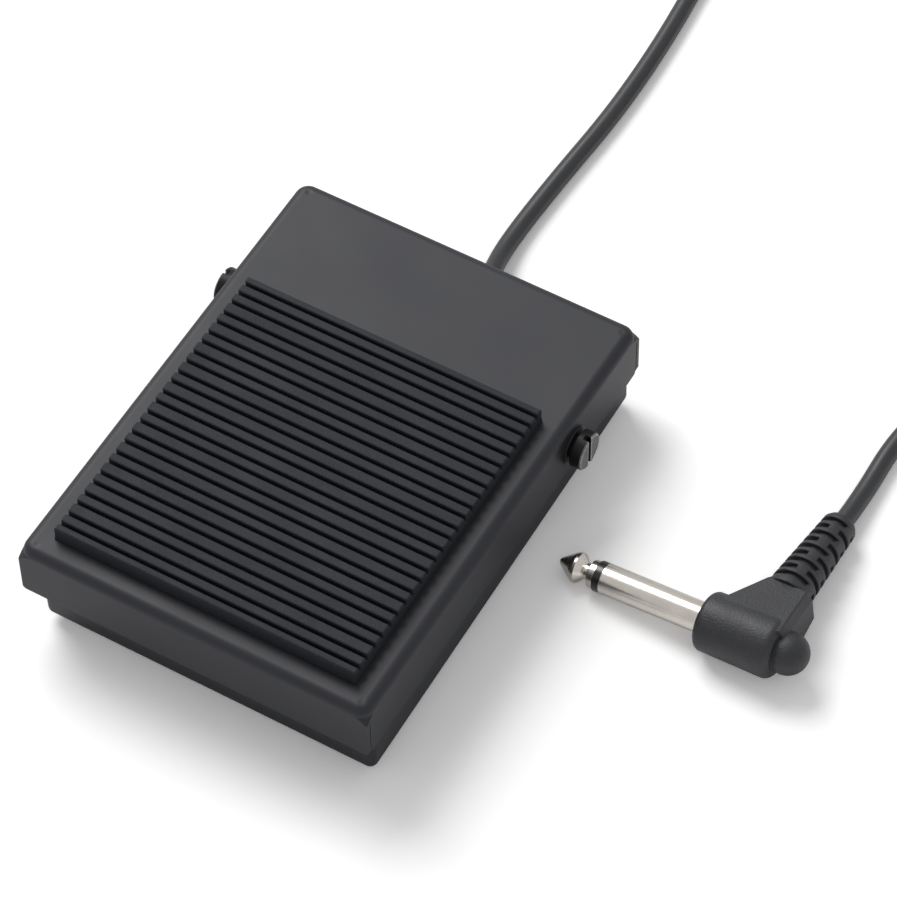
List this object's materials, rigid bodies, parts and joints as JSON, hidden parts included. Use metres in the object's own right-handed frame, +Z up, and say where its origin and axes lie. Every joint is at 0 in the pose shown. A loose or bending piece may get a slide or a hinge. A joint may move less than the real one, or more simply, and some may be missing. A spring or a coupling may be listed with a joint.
{
  "type": "foot pedal switch",
  "caption": "Momentary foot pedal switch: sheet steel lid with ribbed rubber tread rocking over a steel tray, lever switch inside, lead with right-angle jack plug.",
  "frame": {"origin": "middle of the pedal's own box at the floor, the lead not counted", "axes": "+X to the user's right, +Y from the toe to the back where the lead leaves, +Z up"},
  "size_m": [0.1612, 0.2616, 0.0303],
  "materials": {
    "tray_paint": "satin black paint",
    "lid_paint": "satin black paint with a fine texture",
    "rubber": "matt black rubber",
    "tread_rubber": "matt black ribbed rubber",
    "screw_steel": "blackened steel worn bright on the face",
    "plated_steel": "bright zinc plate",
    "spring_steel": "bright drawn wire",
    "switch_plastic": "moulded, fine grain",
    "plunger_plastic": "moulded",
    "contact_brass": "silvered brass",
    "nylon": "moulded nylon",
    "bush_nylon": "moulded black nylon",
    "cord_jacket": "soft dull jacket",
    "wire_red": "insulation",
    "wire_white": "insulation",
    "tie_strap": "flexible strap",
    "plug_moulding": "moulded over the plug, dull",
    "plug_nickel": "bright nickel plate",
    "insulator_plastic": "moulded"
  },
  "bodies": {
    "base": {"base_tray": "tray_paint", "rubber_feet": "rubber", "toe_stops": "rubber", "back_stops": "rubber", "pivot_screw_left": "screw_steel", "pivot_screw_right": "screw_steel", "pivot_nuts": "plated_steel", "spring_seat": "plated_steel", "return_spring": "spring_steel", "switch_bracket": "plated_steel", "bracket_screws": "plated_steel", "switch_case": "switch_plastic", "switch_terminals": "contact_brass", "contact_blade": "contact_brass", "lever_pin": "spring_steel", "switch_screws": "plated_steel", "switch_nuts": "plated_steel", "cable_tail": "cord_jacket", "cable_clamp": "nylon", "clamp_screw": "plated_steel", "wire_common": "wire_red", "wire_signal": "wire_white", "cord_grommet": "rubber", "cord_near": "cord_jacket", "cord_coil": "cord_jacket", "coil_tie": "tie_strap", "cord_far": "cord_jacket", "plug_relief": "plug_moulding", "plug_body": "plug_moulding", "plug_sleeve": "plug_nickel", "plug_insulator": "insulator_plastic", "plug_tip": "plug_nickel"},
    "pedal": {"pedal_lid": "lid_paint", "tread_pad": "tread_rubber", "pivot_bushes": "bush_nylon", "spring_post": "plated_steel", "actuator_button": "nylon"},
    "lever": {"switch_lever": "spring_steel"},
    "plunger": {"switch_plunger": "plunger_plastic"}
  },
  "joints": [
    {"name": "pedal_hinge", "type": "hinge", "parent": "base", "child": "pedal", "pos_m": [0, 0.026, 0.017], "axis": [1, 0, 0], "range_deg": [0, 3], "stiffness_Nm_per_rad": 9.1, "springref_deg": -3.52, "deforming": ["return_spring"]},
    {"name": "lever_hinge", "type": "hinge", "parent": "base", "child": "lever", "pos_m": [0, 0.0072, 0.021], "axis": [1, 0, 0], "range_deg": [0, 6.15]},
    {"name": "plunger_slide", "type": "slide", "parent": "base", "child": "plunger", "axis": [0, 0, -1], "range_m": [0, 0.00057]}
  ],
  "couplings": [
    {"joint": "lever_hinge", "follows": "pedal_hinge", "ratio": 2.035},
    {"joint": "plunger_slide", "follows": "pedal_hinge", "m_per_rad": 0.0106}
  ]
}
